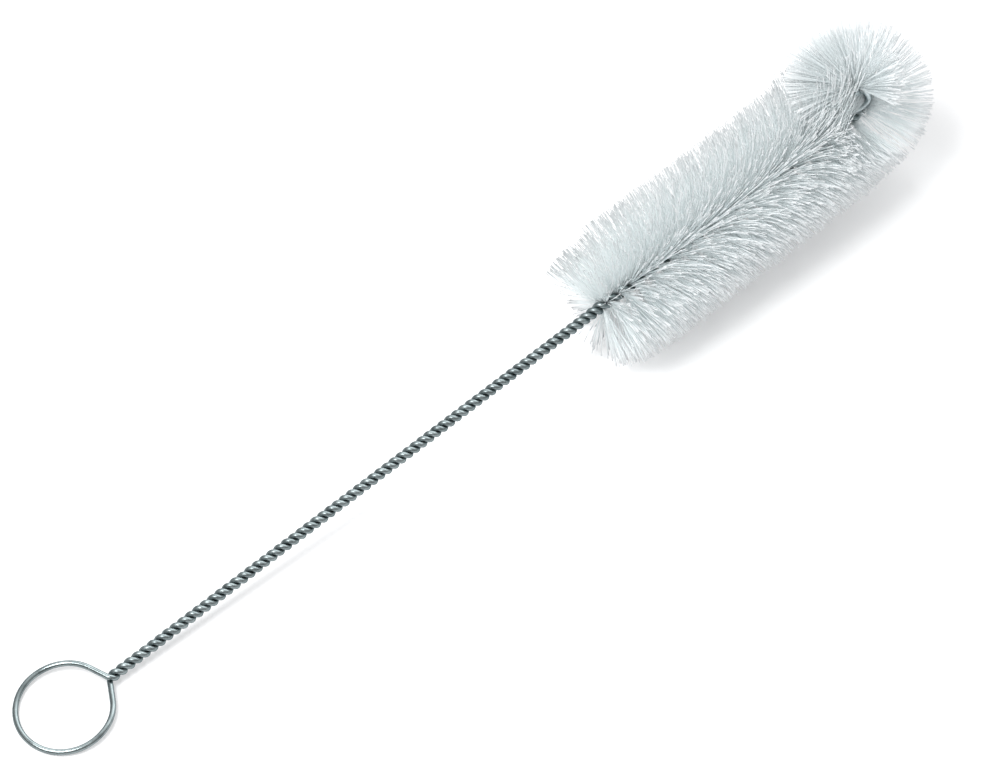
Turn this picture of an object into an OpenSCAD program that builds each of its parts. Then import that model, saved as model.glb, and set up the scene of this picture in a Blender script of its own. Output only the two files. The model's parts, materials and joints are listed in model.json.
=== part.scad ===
// Bottle brush, twisted in wire. One wire is bent at its middle to a hanging ring, and its two
// legs are twisted on each other to make the bare stem and the core of the head. Straight
// filaments are caught between the two strands, and the tip of the core is bent back in a hook.
// Lengths are millimetres. The brush lies at rest on z = 0, ring at -X, head at +X.

/* [Wire] */
// Diameter of the wire
wire_d = 1.6; // [1:0.1:2.5]
// Clearance between the two strands of the bare stem
strand_gap = 0.04; // [0.02:0.01:0.2]
// Length of one twist beside the ring, in wire diameters
lay_at_ring = 3.25; // [3.1:0.05:8]
// Length of one twist just before the bristles, in wire diameters
lay_at_head = 2.95; // [2.95:0.05:8]
// Length of one twist among the bristles, in wire diameters
lay_in_head = 5.12; // [4.2:0.01:10]
// Length of one twist in the hook, in wire diameters
lay_in_hook = 14; // [8:0.5:20]

/* [Ring] */
// Inside diameter of the ring
ring_bore = 24.4; // [12:0.2:60]
// Sideways set of the ring from the stem's line
ring_set = 1.2; // [0:0.1:2]
// From the ring's middle line out to where its two legs cross and start to twist
cross_len = 1.4; // [0.7:0.1:6]
// Radius of the bend in each leg beside the crossing
throat_r = 1.2; // [1:0.1:1.8]

/* [Stem] */
// Length of bare twist between the ring and the bristles
stem_len = 171; // [40:0.5:400]

/* [Head] */
// Diameter over the bristle tips
head_d = 40; // [16:1:90]
// Length of straight core that carries bristles
head_len = 93; // [30:1:250]
// Diameter of one filament
filament_d = 0.3; // [0.2:0.05:0.6]
// Clearance between a filament and its neighbours in the core
filament_gap = 0.02; // [0.01:0.01:0.1]

/* [Tip] */
// Radius of the hook, at the middle of the core
hook_r = 4; // [3:0.5:15]
// Angle through which the hook turns back
hook_deg = 115; // [60:1:130]
// Straight end of the hook
hook_end = 9.4; // [2:0.2:14]
// Length left without bristles at the cut ends
tip_bare = 1.5; // [0.5:0.5:4]
// Length of the hook's bristles, from the core
tip_reach = 18; // [6:0.5:40]
// Lean of the hook's bristles towards the cut ends
tip_lean = 25; // [5:1:40]
// Share of the hook's inside that its bristles reach across
hook_fill = 0.8; // [0.3:0.05:0.9]

/* [Hidden] */

wire_color = [0.60, 0.64, 0.66];
bristle_color = [0.86, 0.90, 0.91];

// Flats round the wire, sections to a twist, to the ring and to a throat bend, flats round a filament
wire_sides = 6;
twist_steps = 8;
ring_steps = 36;
throat_steps = 5;
filament_sides = 6;

wire_r = wire_d / 2;
bristle_r = head_d / 2;

// Distance of a strand's centre from the core's, in the stem and where filaments lie between
stem_strand_r = wire_r + strand_gap / 2;
head_strand_r = wire_r + filament_d / 2 + filament_gap;

// Lengths of one twist
twist_at_ring = lay_at_ring * wire_d;
twist_at_head = lay_at_head * wire_d;
twist_in_head = lay_in_head * wire_d;
twist_in_hook = lay_in_hook * wire_d;

// The ring's middle line, centred at x = 0, and the bends that join it to the legs
ring_r = ring_bore / 2 + wire_r;
stem_x = ring_r + cross_len;
cross_deg = atan2(2 * PI * stem_strand_r, twist_at_ring);
throat_x = stem_x + throat_r * sin(cross_deg);
throat_y = throat_r * cos(cross_deg);
function throat_rise(side) = throat_y - side * ring_set;
function throat_deg(side) =
    let (apart = norm([throat_x, throat_rise(side)]))
    atan2(throat_rise(side), throat_x) + acos((ring_r + throat_r) / apart);

// Stations along the core, measured from the start of the twist
hook_start = stem_len + head_len;
hook_arc = hook_r * hook_deg * PI / 180;
core_len = hook_start + hook_arc + hook_end;

// The core's line in the XZ plane: its turn, its place and its turns of twist at a station
function bend_at(s) = min(max(s - hook_start, 0) / hook_r * 180 / PI, hook_deg);
function past_hook(s) = max(s - hook_start - hook_arc, 0);
function core_at(s) = [
    stem_x + min(s, hook_start) + hook_r * sin(bend_at(s)) + past_hook(s) * cos(hook_deg),
    0,
    hook_r * (1 - cos(bend_at(s))) + past_hook(s) * sin(hook_deg)
];
function stem_turns(s) =
    1 / 4 + s / twist_at_ring + (1 / twist_at_head - 1 / twist_at_ring) * s * s / (2 * stem_len);
function head_turns(s) = min(max(s - stem_len, 0), head_len) / twist_in_head;
function hook_turns(s) = max(s - hook_start, 0) / twist_in_hook;
function twist_deg(s) = 360 * (stem_turns(min(s, stem_len)) + head_turns(s) + hook_turns(s));

// The strands part smoothly over the last twist of the stem, to take the filaments
function smooth(t) = t * t * (3 - 2 * t);
function parted(s) = smooth(min(max((s - stem_len) / twist_at_head + 1, 0), 1));
function strand_r(s) = stem_strand_r + (head_strand_r - stem_strand_r) * parted(s);

// Direction across the core at a station: 0 is sideways, 90 is towards the inside of the hook
function across(s, deg) = [-sin(deg) * sin(bend_at(s)), cos(deg), sin(deg) * cos(bend_at(s))];

// The wire's route is a list of places, each with the direction that its section faces. The legs
// cross one above the other, and the near half of the ring takes them to one level.
function unit(v) = v / norm(v);
function reversed(list) = [for (i = [len(list) - 1 : -1 : 0]) list[i]];
function strand_place(s, side) =
    let (out = across(s, twist_deg(s))) [core_at(s) + side * strand_r(s) * out, out];
function throat_place(side, deg) = [
    [throat_x + throat_r * cos(deg), side * throat_y + throat_r * sin(deg), side * stem_strand_r],
    [0, 0, 1]
];
function ring_level(deg) =
    deg < 90 ? smooth((90 - deg) / (90 - throat_deg(1))) :
    deg > 270 ? -smooth((deg - 270) / (90 - throat_deg(-1))) : 0;
function ring_place(deg) = [
    [ring_r * cos(deg), ring_set + ring_r * sin(deg), stem_strand_r * ring_level(deg)],
    [0, 0, 1]
];

function span(from, to, count) = [for (i = [0 : count]) from + (to - from) * i / count];
function up_to(from, to, count) = [for (i = [0 : count - 1]) from + (to - from) * i / count];
stem_steps = ceil(stem_len / twist_at_head * twist_steps);
head_steps = ceil(head_len / twist_in_head * twist_steps);
hook_steps = ceil((core_len - hook_start) / twist_in_head * twist_steps);
stations = concat(
    up_to(0, stem_len, stem_steps),
    up_to(stem_len, hook_start, head_steps),
    span(hook_start, core_len, hook_steps)
);
route = concat(
    [for (s = reversed(stations)) strand_place(s, 1)],
    [for (deg = reversed(up_to(180 + throat_deg(1), 270 - cross_deg, throat_steps))) throat_place(1, deg)],
    [for (deg = span(throat_deg(1), 360 - throat_deg(-1), ring_steps)) ring_place(deg)],
    [for (deg = up_to(180 - throat_deg(-1), 90 + cross_deg, throat_steps)) throat_place(-1, deg)],
    [for (s = stations) strand_place(s, -1)]
);

// One section of the wire, with a flat turned to the core
function section(i) =
    let (
        ahead = route[min(i + 1, len(route) - 1)][0],
        behind = route[max(i - 1, 0)][0],
        along = unit(ahead - behind),
        beside = unit(cross(along, route[i][1])),
        out = cross(beside, along)
    )
    [for (k = [0 : wire_sides - 1])
        let (deg = 360 * (k + 0.5) / wire_sides)
        route[i][0] + wire_r * (cos(deg) * out + sin(deg) * beside)];

module swept_wire() {
    last = len(route) - 1;
    sides = [for (i = [0 : last - 1], k = [0 : wire_sides - 1])
        let (
            a = i * wire_sides + k,
            b = i * wire_sides + (k + 1) % wire_sides
        )
        each [[a, a + wire_sides, b + wire_sides], [a, b + wire_sides, b]]];
    first_cap = [for (k = [0 : wire_sides - 1]) k];
    last_cap = [for (k = first_cap) (last + 1) * wire_sides - 1 - k];
    polyhedron([for (i = [0 : last]) each section(i)], concat(sides, [first_cap, last_cap]));
}

// Filaments lie one on the next along the core, turned with the twist
filament_step = filament_d + filament_gap;
tip_step = filament_step / cos(tip_lean);
head_stations = [for (s = [stem_len + filament_step : filament_step : hook_start]) s];
tip_stations = [for (s = [hook_start + tip_step : tip_step : core_len - tip_bare]) s];

// Room for a filament towards the inside of the hook: those of the head stop under the hook's end
// where it leans back over them, and those of the hook stop short of the head's
core_r = head_strand_r + wire_r + filament_d / 2 + filament_gap;
hook_lean = hook_deg - 90;
function head_room(s) =
    let (gap = core_at(hook_start + hook_arc) - core_at(s))
    hook_lean > 0 ? gap.z + (gap.x - core_r / cos(hook_lean)) / tan(hook_lean) : bristle_r;
function hook_room(s) =
    max(hook_fill * (core_at(s).x - core_at(hook_start).x) / sin(bend_at(s)), head_strand_r);

// How far a filament reaches to one side of the core
function lean_at(s) = s > hook_start ? tip_lean : 0;
function reach(s, side) =
    let (
        inward = side * cos(twist_deg(s)) * cos(lean_at(s)),
        room = s > hook_start ? hook_room(s) : head_room(s),
        most = s > hook_start ? tip_reach : bristle_r
    )
    inward > 0 ? min(most, room / inward) : most;
function tip_at(s, side) =
    let (along = [cos(bend_at(s)), 0, sin(bend_at(s))], out = side * across(s, twist_deg(s) + 90))
    core_at(s) + reach(s, side) * (cos(lean_at(s)) * out + sin(lean_at(s)) * along);

module in_nip(s) {
    translate(core_at(s)) rotate([0, -bend_at(s), 0]) rotate([twist_deg(s), 0, 0]) children();
}

module filament(s) {
    in_nip(s)
        translate([0, 0, -reach(s, -1)])
            cylinder(h = reach(s, -1) + reach(s, 1), d = filament_d, $fn = filament_sides);
}

// On the hook each half leans, and the two halves start just clear of each other. Towards the inside
// of the bend, where they close up, every second half is left out.
tip_start = filament_d / 2 * tan(tip_lean) + filament_gap / 2;
function crowded(i, side) = i % 2 == 1 && side * cos(twist_deg(tip_stations[i])) > 0.35;
module leaning_half(s, side) {
    in_nip(s)
        rotate([0, side > 0 ? tip_lean : 180 - tip_lean, 0])
            translate([0, 0, tip_start])
                cylinder(h = reach(s, side) - tip_start, d = filament_d, $fn = filament_sides);
}

// At rest the ring's far end and the lowest bristle tips touch the floor
function lean_over(tip) =
    acos(wire_r / norm([tip.x + ring_r, tip.z])) - atan2(tip.x + ring_r, -tip.z);
tips = [for (s = concat(head_stations, tip_stations), side = [-1, 1]) tip_at(s, side)];
lean = max([for (tip = tips) if (tip.z < -wire_r) lean_over(tip)]);
near_x = -ring_r * cos(lean) - wire_r;
far_x = max([for (tip = tips) tip.x * cos(lean) - tip.z * sin(lean)]);
rest_x = -(near_x + far_x) / 2;
rest_z = ring_r * sin(lean) + wire_r;

module at_rest() {
    translate([rest_x, 0, rest_z]) rotate([0, -lean, 0]) children();
}

module wire() {
    color(wire_color) at_rest() swept_wire();
}

module head_bristles() {
    color(bristle_color) at_rest() for (s = head_stations) filament(s);
}

module tip_bristles() {
    color(bristle_color) at_rest()
        for (i = [0 : len(tip_stations) - 1], side = [-1, 1])
            if (!crowded(i, side)) leaning_half(tip_stations[i], side);
}

wire();
head_bristles();
tip_bristles();
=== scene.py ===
import json
import math
import bpy
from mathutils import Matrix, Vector


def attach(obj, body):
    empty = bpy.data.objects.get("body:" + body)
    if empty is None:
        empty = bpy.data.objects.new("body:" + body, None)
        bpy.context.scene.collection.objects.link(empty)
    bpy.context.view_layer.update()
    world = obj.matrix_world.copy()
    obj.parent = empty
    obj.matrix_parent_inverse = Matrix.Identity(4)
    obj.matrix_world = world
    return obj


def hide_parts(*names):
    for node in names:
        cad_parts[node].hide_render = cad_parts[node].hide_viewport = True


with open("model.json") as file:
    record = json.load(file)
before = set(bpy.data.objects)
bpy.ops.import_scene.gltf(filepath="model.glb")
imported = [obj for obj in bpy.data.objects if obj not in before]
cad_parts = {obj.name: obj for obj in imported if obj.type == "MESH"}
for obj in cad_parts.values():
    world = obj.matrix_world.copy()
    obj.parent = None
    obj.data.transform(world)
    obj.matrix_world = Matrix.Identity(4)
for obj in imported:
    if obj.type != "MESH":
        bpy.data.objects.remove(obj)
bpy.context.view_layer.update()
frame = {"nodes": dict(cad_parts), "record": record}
print("frame loaded with", ", ".join(sorted(frame["nodes"])))

# The brush's own axes: the ring lies flat in ahead and across, and lift points out of it
ringMount = frame["record"]["mounts"][0]
ringCentre = Vector(ringMount["pos_m"])
lift = Vector(ringMount["axis"]).normalized()
across = Vector((0, 1, 0))
ahead = across.cross(lift)


# Small helpers for node trees

def nodeKit(tree):
    def put(kind, values=None, **settings):
        node = tree.nodes.new(kind)
        for name, value in settings.items():
            setattr(node, name, value)
        for key, value in (values or {}).items():
            if isinstance(value, bpy.types.NodeSocket):
                tree.links.new(value, node.inputs[key])
            else:
                node.inputs[key].default_value = value
        return node

    return put


def newTree(name, inputs):
    tree = bpy.data.node_groups.new(name, "GeometryNodeTree")
    tree.interface.new_socket("Geometry", in_out="INPUT", socket_type="NodeSocketGeometry")
    tree.interface.new_socket("Geometry", in_out="OUTPUT", socket_type="NodeSocketGeometry")
    for label, kind in inputs:
        tree.interface.new_socket(label, in_out="INPUT", socket_type="NodeSocket" + kind)
    return tree


def endTree(put, mesh, finish):
    rounded = put("GeometryNodeSetShadeSmooth", {"Geometry": mesh})
    real = put("GeometryNodeRealizeInstances", {"Geometry": rounded.outputs["Geometry"]})
    dressed = put("GeometryNodeSetMaterial", {"Geometry": real.outputs["Geometry"], "Material": finish})
    put("NodeGroupOutput", {"Geometry": dressed.outputs["Geometry"]})


def polyline(name, places, values):
    mesh = bpy.data.meshes.new(name)
    mesh.from_pydata(places, [(i, i + 1) for i in range(len(places) - 1)], [])
    for label, numbers in values.items():
        mesh.attributes.new(label, "FLOAT", "POINT").data.foreach_set("value", numbers)
    piece = bpy.data.objects.new(name, mesh)
    bpy.context.scene.collection.objects.link(piece)
    return piece


def shapeWith(piece, tree, settings):
    modifier = piece.modifiers.new(tree.name, "NODES")
    modifier.node_group = tree
    for item in tree.interface.items_tree:
        if item.in_out == "INPUT" and item.name in settings:
            modifier[item.identifier] = settings[item.name]
    bpy.context.view_layer.update()
    shaped = piece.evaluated_get(bpy.context.evaluated_depsgraph_get())
    mesh = bpy.data.meshes.new_from_object(shaped, preserve_all_data_layers=True,
                                           depsgraph=bpy.context.evaluated_depsgraph_get())
    piece.modifiers.remove(modifier)
    piece.data = mesh
    mesh.name = piece.name
    print(piece.name, "has", sum(len(p.vertices) - 2 for p in mesh.polygons), "triangles")
    return piece


# The wire: a ring whose two legs cross, twist on each other and end in a hook

wire = {
    "thickness": 0.0016,
    "strandGap": 0.00004,  # between the legs in the bare stem
    "nipGap": 0.00034,  # between the legs where filaments lie between them
    "ringBore": 0.0244,
    "ringSet": 0.0012,  # sideways, from the stem's line
    "crossing": 0.0014,  # from the ring's middle line out to where its legs cross
    "throatRadius": 0.0012,  # of the bend in each leg beside the crossing
    "stemLength": 0.171,
    "headLength": 0.093,
    "hookRadius": 0.004,
    "hookTurn": math.radians(115),
    "hookEnd": 0.0094,
    "twistAtRing": 3.25 * 0.0016,
    "twistAtHead": 2.95 * 0.0016,
    "twistInHead": 5.12 * 0.0016,
    "twistInHook": 14 * 0.0016,
    "stepsPerTwist": 24,
    "ringSteps": 96,
    "throatSteps": 10,
    "sides": 14,
    # from an end of the wire: how far the cut mark and the painted highlight on the hook are full, and where
    # they have faded out
    "cutMark": (0.0003, 0.0012),
    "hookHighlightMark": (0.017, 0.021),
}
wireRadius = wire["thickness"] / 2
stemStrand = wireRadius + wire["strandGap"] / 2
headStrand = wireRadius + wire["nipGap"] / 2
ringRadius = wire["ringBore"] / 2 + wireRadius
stemX = ringRadius + wire["crossing"]
crossAngle = math.atan2(math.tau * stemStrand, wire["twistAtRing"])
throatX = stemX + wire["throatRadius"] * math.sin(crossAngle)
throatY = wire["throatRadius"] * math.cos(crossAngle)


def throatAngle(side):
    rise = throatY - side * wire["ringSet"]
    apart = math.hypot(throatX, rise)
    return math.atan2(rise, throatX) + math.acos((ringRadius + wire["throatRadius"]) / apart)


hookStart = wire["stemLength"] + wire["headLength"]
hookArc = wire["hookRadius"] * wire["hookTurn"]
coreLength = hookStart + hookArc + wire["hookEnd"]


def inFrame(x, y, z):
    return ringCentre + ahead * x + across * (y - wire["ringSet"]) + lift * z


def bendAt(s):
    return min(max(s - hookStart, 0) / wire["hookRadius"], wire["hookTurn"])


def coreAt(s):
    bend = bendAt(s)
    past = max(s - hookStart - hookArc, 0)
    x = stemX + min(s, hookStart) + wire["hookRadius"] * math.sin(bend) + past * math.cos(wire["hookTurn"])
    z = wire["hookRadius"] * (1 - math.cos(bend)) + past * math.sin(wire["hookTurn"])
    return x, z


def twistAt(s):
    first = wire["twistAtRing"]
    stem = min(s, wire["stemLength"])
    tighter = (1 / wire["twistAtHead"] - 1 / first) * stem * stem / (2 * wire["stemLength"])
    head = min(max(s - wire["stemLength"], 0), wire["headLength"]) / wire["twistInHead"]
    hook = max(s - hookStart, 0) / wire["twistInHook"]
    return math.tau * (0.25 + stem / first + tighter + head + hook)


def smooth(t):
    return t * t * (3 - 2 * t)


def strandRadius(s):
    part = min(max((s - wire["stemLength"]) / wire["twistAtHead"] + 1, 0), 1)
    return stemStrand + (headStrand - stemStrand) * smooth(part)


def strandPlace(s, side):
    x, z = coreAt(s)
    bend = bendAt(s)
    angle = twistAt(s)
    r = side * strandRadius(s)
    return inFrame(x - r * math.sin(angle) * math.sin(bend), r * math.cos(angle),
                   z + r * math.sin(angle) * math.cos(bend))


def throatPlace(side, angle):
    r = wire["throatRadius"]
    return inFrame(throatX + r * math.cos(angle), side * throatY + r * math.sin(angle), side * stemStrand)


def ringPlace(angle):  # the near half of the ring takes the crossed legs to one level
    quarter = math.pi / 2
    level = 0
    if angle < quarter:
        level = smooth((quarter - angle) / (quarter - throatAngle(1)))
    if angle > 3 * quarter:
        level = -smooth((angle - 3 * quarter) / (quarter - throatAngle(-1)))
    x = ringRadius * math.cos(angle)
    y = wire["ringSet"] + ringRadius * math.sin(angle)
    return inFrame(x, y, stemStrand * level)


def spaced(start, stop, count):
    return [start + (stop - start) * i / count for i in range(count + 1)]


def twistSteps(start, stop, twist):
    return spaced(start, stop, round((stop - start) / twist * wire["stepsPerTwist"]))


def wireRoute():
    stations = twistSteps(0, wire["stemLength"], wire["twistAtHead"])[:-1]
    stations += twistSteps(wire["stemLength"], hookStart, wire["twistInHead"])[:-1]
    stations += twistSteps(hookStart, coreLength, wire["twistInHead"])
    upper, lower = throatAngle(1), throatAngle(-1)
    route = [strandPlace(s, 1) for s in reversed(stations)]
    upperBend = spaced(1.5 * math.pi - crossAngle, math.pi + upper, wire["throatSteps"])
    lowerBend = spaced(math.pi - lower, 0.5 * math.pi + crossAngle, wire["throatSteps"])
    route += [throatPlace(1, a) for a in upperBend[1:]]
    route += [ringPlace(a) for a in spaced(upper, math.tau - lower, wire["ringSteps"])]
    route += [throatPlace(-1, a) for a in lowerBend[:-1]]
    route += [strandPlace(s, -1) for s in stations]
    return route


def wireTree():
    tree = newTree("wireSweep", [("Radius", "Float"), ("Sides", "Int"), ("Finish", "Material")])
    put = nodeKit(tree)
    given = put("NodeGroupInput").outputs
    path = put("GeometryNodeMeshToCurve", {"Mesh": given["Geometry"]})
    run = put("GeometryNodeSplineParameter").outputs["Length"]
    whole = put("GeometryNodeSplineLength").outputs["Length"]
    left = put("ShaderNodeMath", {0: whole, 1: run}, operation="SUBTRACT").outputs[0]
    fromEnd = put("ShaderNodeMath", {0: run, 1: left}, operation="MINIMUM").outputs[0]
    marked = path.outputs["Curve"]
    # the cut ends, and a painted highlight over the hook, as shares that fade from either end
    for label, (near, far) in (("cut", wire["cutMark"]), ("rubbed", wire["hookHighlightMark"])):
        share = put("ShaderNodeMapRange", {"Value": fromEnd, "From Min": near, "From Max": far,
                                           "To Min": 1.0, "To Max": 0.0}).outputs["Result"]
        marked = put("GeometryNodeStoreNamedAttribute", {"Geometry": marked, "Name": label, "Value": share},
                     data_type="FLOAT").outputs["Geometry"]
    section = put("GeometryNodeCurvePrimitiveCircle",
                  {"Resolution": given["Sides"], "Radius": given["Radius"]}).outputs["Curve"]
    swept = put("GeometryNodeCurveToMesh", {"Curve": marked, "Profile Curve": section, "Fill Caps": True})
    endTree(put, swept.outputs["Mesh"], given["Finish"])
    return tree


def zincFinish():
    zinc = {
        "pale": (0.29, 0.335, 0.34, 1),
        "dull": (0.185, 0.22, 0.225, 1),
        # painted highlight: much paler metal over the hook, standing in for its bright streak
        "rubbed": (0.80, 0.86, 0.87, 1),  # on the hook
        "cutEnd": (0.30, 0.33, 0.335, 1),
        # painted shade: a dark grazing tint that dims the wire's edges
        "grazingShade": (0.30, 0.34, 0.36, 1),
        "bloom": 260,  # patches of bloom to a metre
        "bloomDetail": 4.0,
        "bloomGrain": 0.6,
        "toneRange": (0.34, 0.66),  # of the bloom, from dull to pale
        "drawing": 1900,  # marks of the drawing die to a metre
        "drawingDetail": 2.0,
        "drawingStrength": 0.05,
        "drawingDepth": 0.00004,
        "glossRange": (0.3, 0.7),  # of the bloom, from glossy to less so
        "gloss": (0.20, 0.27),
        "scuffed": 0.14,  # rougher where the legs are twisted
        "scuffRun": 0.003,
    }
    material = bpy.data.materials.new("zincWire")
    material.use_nodes = True
    put = nodeKit(material.node_tree)
    shader = material.node_tree.nodes["Principled BSDF"]
    link = material.node_tree.links.new
    where = put("ShaderNodeTexCoord").outputs["Object"]
    bloom = put("ShaderNodeTexNoise", {"Vector": where, "Scale": zinc["bloom"], "Detail": zinc["bloomDetail"],
                                       "Roughness": zinc["bloomGrain"]}).outputs["Fac"]
    tone = put("ShaderNodeValToRGB", {"Fac": bloom})
    colours = (zinc["dull"], zinc["pale"])
    for step, position, colour in zip(tone.color_ramp.elements, zinc["toneRange"], colours):
        step.position = position
        step.color = colour
    gloss = put("ShaderNodeMapRange", {
        "Value": bloom, "From Min": zinc["glossRange"][0], "From Max": zinc["glossRange"][1],
        "To Min": zinc["gloss"][0], "To Max": zinc["gloss"][1]})
    throat = inFrame(stemX, 0, 0).x
    forward = put("ShaderNodeSeparateXYZ", {0: where}).outputs["X"]
    scuffed = put("ShaderNodeMapRange", {
        "Value": forward, "From Min": throat, "From Max": throat + zinc["scuffRun"],
        "To Min": 0.0, "To Max": zinc["scuffed"]})
    rough = put("ShaderNodeMath", {0: gloss.outputs["Result"], 1: scuffed.outputs["Result"]}, operation="ADD")
    marks = put("ShaderNodeTexNoise", {"Vector": where, "Scale": zinc["drawing"],
                                       "Detail": zinc["drawingDetail"]})
    bump = put("ShaderNodeBump", {"Height": marks.outputs["Fac"], "Strength": zinc["drawingStrength"],
                                  "Distance": zinc["drawingDepth"]})
    cut = put("ShaderNodeAttribute", attribute_name="cut").outputs["Fac"]
    rubbed = put("ShaderNodeAttribute", attribute_name="rubbed").outputs["Fac"]
    # painted highlight on the hook, then the cut ends over it
    bright = put("ShaderNodeMix", {0: rubbed, 6: tone.outputs["Color"], 7: zinc["rubbed"]}, data_type="RGBA")
    body = put("ShaderNodeMix", {0: cut, 6: bright.outputs[2], 7: zinc["cutEnd"]}, data_type="RGBA")
    link(body.outputs[2], shader.inputs["Base Color"])
    link(rough.outputs[0], shader.inputs["Roughness"])
    link(bump.outputs["Normal"], shader.inputs["Normal"])
    shader.inputs["Metallic"].default_value = 1.0
    # painted shade at the wire's edges
    shader.inputs["Specular Tint"].default_value = zinc["grazingShade"]
    return material


twistedWire = polyline("twistedWire", wireRoute(), {})
shapeWith(twistedWire, wireTree(), {"Radius": wireRadius, "Sides": wire["sides"], "Finish": zincFinish()})
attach(twistedWire, "root")
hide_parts("wire")


# The filaments: caught in the nip of the wire, turned with its twist and leaning to the tip

fill = {
    "perMillimetre": 78,  # halves that stand out of a millimetre of core
    "perMillimetreHook": 100,
    "rootWidth": 0.00011,
    "tipAbove": 0.00019,  # the ends are split, so they look wider
    "tipBelow": 0.00025,
    "flare": 3.0,  # power of the widening from root to tip
    "sides": 4,
    "segments": 5,
    "spread": math.radians(10),  # about the nip, on the core and on the hook
    "spreadHook": math.radians(34),
    "leanSpread": math.radians(5),
    "ragged": 0.008,
    "curlAbove": 0.45,  # more lean at the root than at the tip
    "curlBelow": 0.12,
    "leanBelow": 0.65,  # share of the lean on the side nearer the camera
    "tuft": 0.0025,  # size of the tufts that the tips gather in
    "gatherAbove": 0.04,
    "gatherBelow": 0.22,
    # along the head from its rear, in metres: lean in degrees, then reach to either side
    "lean": [(0, -16), (0.004, -11), (0.009, -1), (0.017, 8), (0.032, 18), (0.084, 20), (0.091, 17),
             (0.100, 25), (0.104, 28), (0.1065, 44)],
    "reachAbove": [(0, 0.0178), (0.004, 0.0188), (0.0100, 0.0184), (0.0108, 0.0206), (0.050, 0.0208),
                   (0.070, 0.0214), (0.082, 0.0238), (0.088, 0.0248), (0.093, 0.0256), (0.098, 0.0218)],
    "reachBelow": [(0, 0.0172), (0.005, 0.020), (0.078, 0.020), (0.087, 0.0188), (0.098, 0.018)],
    # the bald side of the hook, in degrees from across, round the core, and how far it is bald either way
    "baldAt": [(0.0965, 134), (0.0995, 165)],
    "bald": [(0.0890, 0), (0.0902, 42), (0.0965, 44), (0.1045, 52), (0.1065, 30)],
    "laidBack": [(0.074, 0), (0.083, 32), (0.0935, 32), (0.096, 0)],  # on that side, in degrees
    "laidBand": (0.36, 0.72),  # radians off that side, over which the laying back fades
    # how strongly the far side takes its painted shade and light along the head: grey ends, paler roots
    "greyed": [(0, 1), (0.012, 0.9), (0.03, 0.72), (0.080, 0.72), (0.095, 0)],
    "coreStep": 0.0004,
    "bareEnd": 0.0001,
    "seed": 7,
    "seedStep": 100,  # from one piece to the next
}
zones = {  # where each piece starts and ends along the head
    "rearBristles": (0.0, 0.030),
    "middleBristles": (0.030, 0.062),
    "frontBristles": (0.062, wire["headLength"]),
    "hookBristles": (wire["headLength"], coreLength - wire["stemLength"] - fill["bareEnd"]),
}


def between(pairs, s):
    for (s0, v0), (s1, v1) in zip(pairs, pairs[1:]):
        if s < s1:
            return v0 + (v1 - v0) * max(s - s0, 0) / (s1 - s0)
    return pairs[-1][1]


def coreLine(name, start, stop):
    count = round((stop - start) / fill["coreStep"])
    along = [start + (stop - start) * i / count for i in range(count + 1)]
    places = []
    for s in along:
        x, z = coreAt(wire["stemLength"] + s)
        places.append(inFrame(x, 0, z))
    return polyline(name, places, {
        "twist": [twistAt(wire["stemLength"] + s) for s in along],
        "lean": [math.radians(between(fill["lean"], s)) for s in along],
        "reachAbove": [between(fill["reachAbove"], s) for s in along],
        "reachBelow": [between(fill["reachBelow"], s) for s in along],
        "baldAt": [math.radians(between(fill["baldAt"], s)) for s in along],
        "bald": [math.radians(between(fill["bald"], s)) for s in along],
        "laidBack": [math.radians(between(fill["laidBack"], s)) for s in along],
        "greyed": [between(fill["greyed"], s) for s in along],
    })


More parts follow.
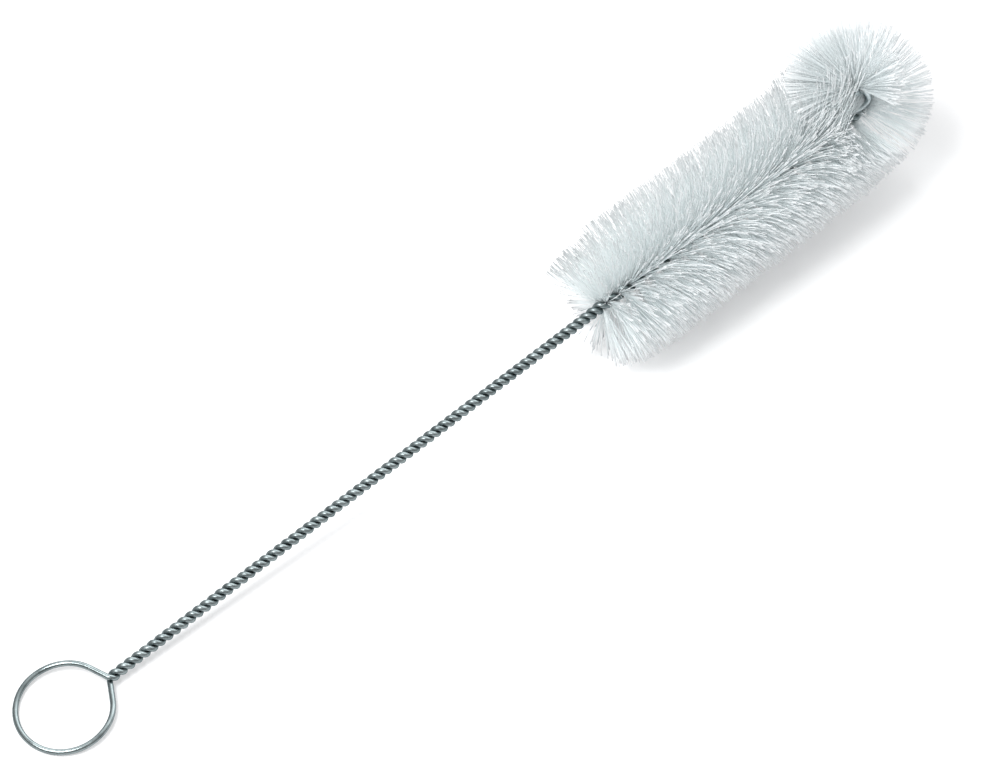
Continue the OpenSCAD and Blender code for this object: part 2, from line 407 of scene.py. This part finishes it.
def fillTree():
    tree = newTree("bristleFill", [
        ("Count", "Int"), ("Root width", "Float"), ("Tip above", "Float"), ("Tip below", "Float"),
        ("Sides", "Int"), ("Segments", "Int"), ("Spread", "Float"), ("Lean spread", "Float"),
        ("Lean below", "Float"), ("Ragged", "Float"), ("Curl above", "Float"), ("Curl below", "Float"),
        ("Tuft", "Float"), ("Gather above", "Float"), ("Gather below", "Float"), ("Seed", "Int"),
        ("Finish", "Material")])
    put = nodeKit(tree)
    given = put("NodeGroupInput").outputs

    def maths(operation, a, b=0.0, c=0.0):
        return put("ShaderNodeMath", {0: a, 1: b, 2: c}, operation=operation).outputs[0]

    def vectors(operation, a, b=(0, 0, 0)):
        return put("ShaderNodeVectorMath", {0: a, 1: b}, operation=operation).outputs[0]

    def dot(a, b):
        return put("ShaderNodeVectorMath", {0: a, 1: b}, operation="DOT_PRODUCT").outputs["Value"]

    def scaled(a, by):
        return put("ShaderNodeVectorMath", {0: a, "Scale": by}, operation="SCALE").outputs[0]

    def summed(first, *rest):
        for other in rest:
            first = vectors("ADD", first, other)
        return first

    def named(label, kind="FLOAT"):
        return put("GeometryNodeInputNamedAttribute", {"Name": label}, data_type=kind).outputs["Attribute"]

    def chance(offset):
        seed = maths("ADD", given["Seed"], offset)
        draw = put("FunctionNodeRandomValue", {"Seed": seed}, data_type="FLOAT")
        return draw.outputs[1]

    def bell(offset):  # three draws make a rough bell curve about 0, of width 1
        total = maths("ADD", maths("ADD", chance(offset), chance(offset + 1)), chance(offset + 2))
        return maths("MULTIPLY", maths("SUBTRACT", total, 1.5), 2.0)

    def blend(low, high, share):
        return put("ShaderNodeMix", {0: share, 2: low, 3: high}, data_type="FLOAT").outputs[0]

    def keep(geometry, label, value, kind="FLOAT"):
        stored = put("GeometryNodeStoreNamedAttribute", {"Geometry": geometry, "Name": label, "Value": value},
                     data_type=kind)
        return stored.outputs["Geometry"]

    # a root for each half filament, every second one on the other side
    path = put("GeometryNodeMeshToCurve", {"Mesh": given["Geometry"]})
    roots = put("GeometryNodeCurveToPoints", {"Curve": path.outputs["Curve"], "Count": given["Count"]},
                mode="COUNT")
    tangent = roots.outputs["Tangent"]
    index = put("GeometryNodeInputIndex").outputs[0]
    half = maths("MULTIPLY", maths("MODULO", index, 2.0), math.pi)
    turn = maths("ADD", maths("ADD", named("twist"), half), math.pi / 2)
    angle = maths("MULTIPLY_ADD", bell(0), given["Spread"], turn)
    apart = maths("ABSOLUTE", maths("WRAP", maths("SUBTRACT", angle, named("baldAt")), math.pi, -math.pi))
    upward = vectors("CROSS_PRODUCT", tangent, tuple(across))
    out = summed(scaled(tuple(across), maths("COSINE", angle)), scaled(upward, maths("SINE", angle)))

    # reach, lean and the tuft that a tip belongs to
    above = maths("MULTIPLY_ADD", dot(out, tuple(across)), 0.5, 0.5)
    reach = blend(named("reachBelow"), named("reachAbove"), above)
    grow = maths("MULTIPLY", reach, maths("MULTIPLY_ADD", bell(3), given["Ragged"], 1.0))
    facing = put("ShaderNodeMapRange", {
        "Value": apart, "From Min": fill["laidBand"][0], "From Max": fill["laidBand"][1],
        "To Min": 1.0, "To Max": 0.0}, interpolation_type="SMOOTHSTEP").outputs["Result"]
    sided = maths("MULTIPLY", named("lean"), blend(given["Lean below"], 1.0, above))
    tilt = maths("SUBTRACT", sided, maths("MULTIPLY", facing, named("laidBack")))
    lean = maths("MULTIPLY_ADD", bell(6), given["Lean spread"], tilt)
    root = put("GeometryNodeInputPosition").outputs[0]
    tip = summed(root, scaled(out, maths("MULTIPLY", grow, maths("COSINE", lean))),
                 scaled(tangent, maths("MULTIPLY", grow, maths("SINE", lean))))
    tufts = put("ShaderNodeTexVoronoi", {"Vector": tip, "Scale": maths("DIVIDE", 1.0, given["Tuft"])})
    gather = blend(given["Gather below"], given["Gather above"], above)
    pull = scaled(vectors("SUBTRACT", tufts.outputs["Position"], tip), gather)
    curled = blend(given["Curl below"], given["Curl above"], above)

    points = roots.outputs["Points"]
    # side is the far side's share of the painted shade and light in the nylon's tint
    for label, value, kind in (
        ("root", root, "FLOAT_VECTOR"), ("out", out, "FLOAT_VECTOR"), ("along", tangent, "FLOAT_VECTOR"),
        ("pull", pull, "FLOAT_VECTOR"), ("grow", grow, "FLOAT"), ("slant", lean, "FLOAT"),
        ("curled", curled, "FLOAT"), ("width", blend(given["Tip below"], given["Tip above"], above), "FLOAT"),
        ("shade", chance(9), "FLOAT"), ("side", maths("MULTIPLY", above, named("greyed")), "FLOAT"),
        ("missing", maths("LESS_THAN", apart, named("bald")), "FLOAT"),
    ):
        points = keep(points, label, value, kind)

    # one half filament of unit size, set at every root
    straw = put("GeometryNodeMeshCylinder", {"Vertices": given["Sides"], "Side Segments": given["Segments"],
                                             "Radius": 0.5, "Depth": 1.0})
    marked = keep(straw.outputs["Mesh"], "local", put("GeometryNodeInputPosition").outputs[0], "FLOAT_VECTOR")
    grown = put("GeometryNodeDeleteGeometry", {"Geometry": points, "Selection": named("missing")},
                domain="POINT")
    copies = put("GeometryNodeInstanceOnPoints", {"Points": grown.outputs["Geometry"], "Instance": marked})
    real = put("GeometryNodeRealizeInstances", {"Geometry": copies.outputs["Instances"]})

    # each half filament bent to its place, and laid over where it meets the floor
    local = put("ShaderNodeSeparateXYZ", {0: named("local", "FLOAT_VECTOR")}).outputs
    t = maths("ADD", local["Z"], 0.5)
    outward = named("out", "FLOAT_VECTOR")
    forward = named("along", "FLOAT_VECTOR")
    slant = maths("SINE", named("slant"))
    upright = maths("COSINE", named("slant"))
    rise = maths("MULTIPLY", named("grow"), upright)
    curl = maths("MULTIPLY_ADD", maths("SUBTRACT", 1.0, t), named("curled"), 1.0)
    run = maths("MULTIPLY", maths("MULTIPLY", named("grow"), slant), maths("MULTIPLY", t, curl))
    middle = summed(named("root", "FLOAT_VECTOR"), scaled(outward, maths("MULTIPLY", rise, t)),
                    scaled(forward, run), scaled(named("pull", "FLOAT_VECTOR"), maths("MULTIPLY", t, t)))
    middleParts = put("ShaderNodeSeparateXYZ", {0: middle}).outputs
    onFloor = put("ShaderNodeCombineXYZ", {0: middleParts["X"], 1: middleParts["Y"],
                                           2: maths("MAXIMUM", middleParts["Z"], named("width"))}).outputs[0]
    heading = vectors("NORMALIZE", summed(scaled(outward, upright), scaled(forward, slant)))
    wide = vectors("NORMALIZE", vectors("CROSS_PRODUCT", forward, outward))
    deep = vectors("CROSS_PRODUCT", heading, wide)
    thick = blend(given["Root width"], named("width"), maths("POWER", t, fill["flare"]))
    place = summed(onFloor, scaled(wide, maths("MULTIPLY", local["X"], thick)),
                   scaled(deep, maths("MULTIPLY", local["Y"], thick)))
    shaped = put("GeometryNodeSetPosition", {"Geometry": keep(real.outputs["Geometry"], "reach", t),
                                             "Position": place}).outputs["Geometry"]
    for label in ("root", "out", "along", "pull", "grow", "slant", "curled", "width", "local", "twist",
                  "lean", "reachAbove", "reachBelow", "baldAt", "bald", "laidBack", "greyed", "missing"):
        shaped = put("GeometryNodeRemoveAttribute", {"Geometry": shaped, "Name": label}).outputs["Geometry"]
    endTree(put, shaped, given["Finish"])
    return tree


def filamentFinish():
    nylon = {
        # painted shade and light: the far side (above) has paler roots and grey ends, the near side (below)
        # darker roots and pale ends
        "rootAbove": (0.935, 0.99, 0.995, 1),
        "rootBelow": (0.88, 0.935, 0.945, 1),
        "tipAbove": (0.38, 0.405, 0.415, 1),
        "tipBelow": (0.93, 0.955, 0.965, 1),
        "tipFrom": 0.68,  # share of the length from which the tint goes over to the tip's
        "shade": (0.06, 0.0),  # how much darker some are, on the near and the far side
        "gloss": 0.45,
        "shine": 0.3,
    }
    material = bpy.data.materials.new("paleNylon")
    material.use_nodes = True
    put = nodeKit(material.node_tree)
    shader = material.node_tree.nodes["Principled BSDF"]
    link = material.node_tree.links.new
    reach = put("ShaderNodeAttribute", attribute_name="reach").outputs["Fac"]
    shade = put("ShaderNodeAttribute", attribute_name="shade").outputs["Fac"]
    side = put("ShaderNodeAttribute", attribute_name="side").outputs["Fac"]
    # painted shade and light by side, in the root and tip tints
    root = put("ShaderNodeMix", {0: side, 6: nylon["rootBelow"], 7: nylon["rootAbove"]}, data_type="RGBA")
    tip = put("ShaderNodeMix", {0: side, 6: nylon["tipBelow"], 7: nylon["tipAbove"]}, data_type="RGBA")
    outer = put("ShaderNodeMapRange", {"Value": reach, "From Min": nylon["tipFrom"], "From Max": 1.0})
    tint = put("ShaderNodeMix", {0: outer.outputs["Result"], 6: root.outputs[2], 7: tip.outputs[2]},
               data_type="RGBA")
    near, far = nylon["shade"]
    depth = put("ShaderNodeMapRange", {"Value": side, "To Min": near, "To Max": far})
    dark = put("ShaderNodeMath", {0: shade, 1: depth.outputs["Result"]}, operation="MULTIPLY")
    level = put("ShaderNodeMath", {0: 1.0, 1: dark.outputs[0]}, operation="SUBTRACT")
    mixed = put("ShaderNodeVectorMath", {0: tint.outputs[2]}, operation="SCALE")
    link(level.outputs[0], mixed.inputs["Scale"])
    link(mixed.outputs[0], shader.inputs["Base Color"])
    shader.inputs["Roughness"].default_value = nylon["gloss"]
    shader.inputs["Specular IOR Level"].default_value = nylon["shine"]
    return material


filamentMaterial = filamentFinish()
fillNodes = fillTree()
for number, (name, (start, stop)) in enumerate(zones.items()):
    bristles = coreLine(name, start, stop)
    onHook = name == "hookBristles"
    density = fill["perMillimetreHook" if onHook else "perMillimetre"]
    shapeWith(bristles, fillNodes, {
        "Count": round((stop - start) * 1000 * density), "Root width": fill["rootWidth"],
        "Tip above": fill["tipAbove"], "Tip below": fill["tipBelow"], "Sides": fill["sides"],
        "Segments": fill["segments"], "Spread": fill["spreadHook" if onHook else "spread"],
        "Lean spread": fill["leanSpread"], "Lean below": fill["leanBelow"], "Ragged": fill["ragged"],
        "Curl above": fill["curlAbove"], "Curl below": fill["curlBelow"], "Tuft": fill["tuft"],
        "Gather above": fill["gatherAbove"], "Gather below": fill["gatherBelow"],
        "Seed": fill["seed"] + fill["seedStep"] * number, "Finish": filamentMaterial})
    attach(bristles, "root")
    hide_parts("tip_bristles" if onHook else "head_bristles")


# The floor, white to the camera and to reflections, with the brush's soft shadow

floor = {"size": 4.0, "paint": (0.82, 0.82, 0.825, 1), "glow": 0.20, "roughness": 0.9}


def floorFinish():
    material = bpy.data.materials.new("paleFloor")
    material.use_nodes = True
    put = nodeKit(material.node_tree)
    shader = material.node_tree.nodes["Principled BSDF"]
    rays = put("ShaderNodeLightPath").outputs
    seen = put("ShaderNodeMath", {0: rays["Is Camera Ray"], 1: rays["Is Glossy Ray"]}, operation="MAXIMUM")
    shown = put("ShaderNodeMath", {0: seen.outputs[0], 1: rays["Is Transmission Ray"]}, operation="MAXIMUM")
    glow = put("ShaderNodeMath", {0: shown.outputs[0], 1: floor["glow"]}, operation="MULTIPLY")
    material.node_tree.links.new(glow.outputs[0], shader.inputs["Emission Strength"])
    shader.inputs["Emission Color"].default_value = (1, 1, 1, 1)
    shader.inputs["Base Color"].default_value = floor["paint"]
    shader.inputs["Roughness"].default_value = floor["roughness"]
    shader.inputs["Specular IOR Level"].default_value = 0.0
    return material


def layFloor():
    h = floor["size"] / 2
    mesh = bpy.data.meshes.new("paleFloor")
    mesh.from_pydata([(-h, -h, 0), (h, -h, 0), (h, h, 0), (-h, h, 0)], [], [(0, 1, 2, 3)])
    mesh.materials.append(floorFinish())
    sheet = bpy.data.objects.new("paleFloor", mesh)
    bpy.context.scene.collection.objects.link(sheet)


layFloor()
print("floor laid")


# Studio: camera at the photograph's angle, one soft key lamp, and a room that the wire mirrors

studio = {
    "aimFromRing": (0.1483, -0.0016, 0.0151),
    "azimuth": math.radians(-39.49),
    "elevation": math.radians(56.63),
    "distance": 1.5,
    "lens": 198.7,
    "sensor": 36.0,
    "farthest": 20,
    "keyFrom": (-0.6, 0.06, 1.4),
    "keySize": 0.7,
    "keyPower": 16.2,
    # the room, from the horizon up to overhead, and the broad soft box behind the brush that its wire mirrors
    "room": [(0.0, (0.12, 0.122, 0.125, 1)), (0.4, (0.80, 0.805, 0.81, 1)), (1.0, (0.95, 0.955, 0.96, 1))],
    "boxAt": (0.83, 0.42, 0.36),
    "box": [(0.2, (0.65, 0.65, 0.65, 1)), (0.6, (1.0, 1.0, 1.0, 1)), (0.88, (4.2, 4.2, 4.2, 1))],
}


def setCamera():
    az, el = studio["azimuth"], studio["elevation"]
    toCamera = Vector((math.sin(az) * math.cos(el), -math.cos(az) * math.cos(el), math.sin(el)))
    aim = ringCentre + Vector(studio["aimFromRing"])
    camera = bpy.data.cameras.new("photoCamera")
    camera.sensor_fit = "HORIZONTAL"
    camera.sensor_width = studio["sensor"]
    camera.lens = studio["lens"]
    camera.clip_end = studio["farthest"]
    holder = bpy.data.objects.new("photoCamera", camera)
    holder.location = aim + toCamera * studio["distance"]
    holder.rotation_euler = toCamera.to_track_quat("Z", "Y").to_euler()
    bpy.context.scene.collection.objects.link(holder)
    bpy.context.scene.camera = holder


def addLamp(name, source, size, power):
    lamp = bpy.data.lights.new(name, "AREA")
    lamp.shape = "DISK"
    lamp.size = size
    lamp.energy = power
    holder = bpy.data.objects.new(name, lamp)
    holder.location = source
    holder.rotation_euler = Vector(source).to_track_quat("Z", "Y").to_euler()
    bpy.context.scene.collection.objects.link(holder)


def setWorld():
    world = bpy.data.worlds.new("studioWorld")
    world.use_nodes = True
    put = nodeKit(world.node_tree)
    way = put("ShaderNodeTexCoord").outputs["Generated"]
    height = put("ShaderNodeSeparateXYZ", {0: way}).outputs["Z"]
    facing = put("ShaderNodeVectorMath", {0: way, 1: studio["boxAt"]}, operation="DOT_PRODUCT")

    def ramp(value, stops):
        node = put("ShaderNodeValToRGB", {"Fac": value})
        node.color_ramp.elements.new(0.5)
        for step, (position, colour) in zip(node.color_ramp.elements, stops):
            step.position = position
            step.color = colour
        return node.outputs["Color"]

    mirrored = put("ShaderNodeLightPath").outputs["Is Glossy Ray"]
    softBox = ramp(facing.outputs["Value"], studio["box"])
    box = put("ShaderNodeMix", {0: mirrored, 6: (1, 1, 1, 1), 7: softBox}, data_type="RGBA")
    room = ramp(height, studio["room"])
    light = put("ShaderNodeVectorMath", {0: room, 1: box.outputs[2]}, operation="MULTIPLY")
    background = world.node_tree.nodes["Background"]
    world.node_tree.links.new(light.outputs[0], background.inputs["Color"])
    bpy.context.scene.world = world


setCamera()
addLamp("keyLamp", studio["keyFrom"], studio["keySize"], studio["keyPower"])
setWorld()
bpy.context.scene.view_settings.view_transform = "Standard"
print("studio set")
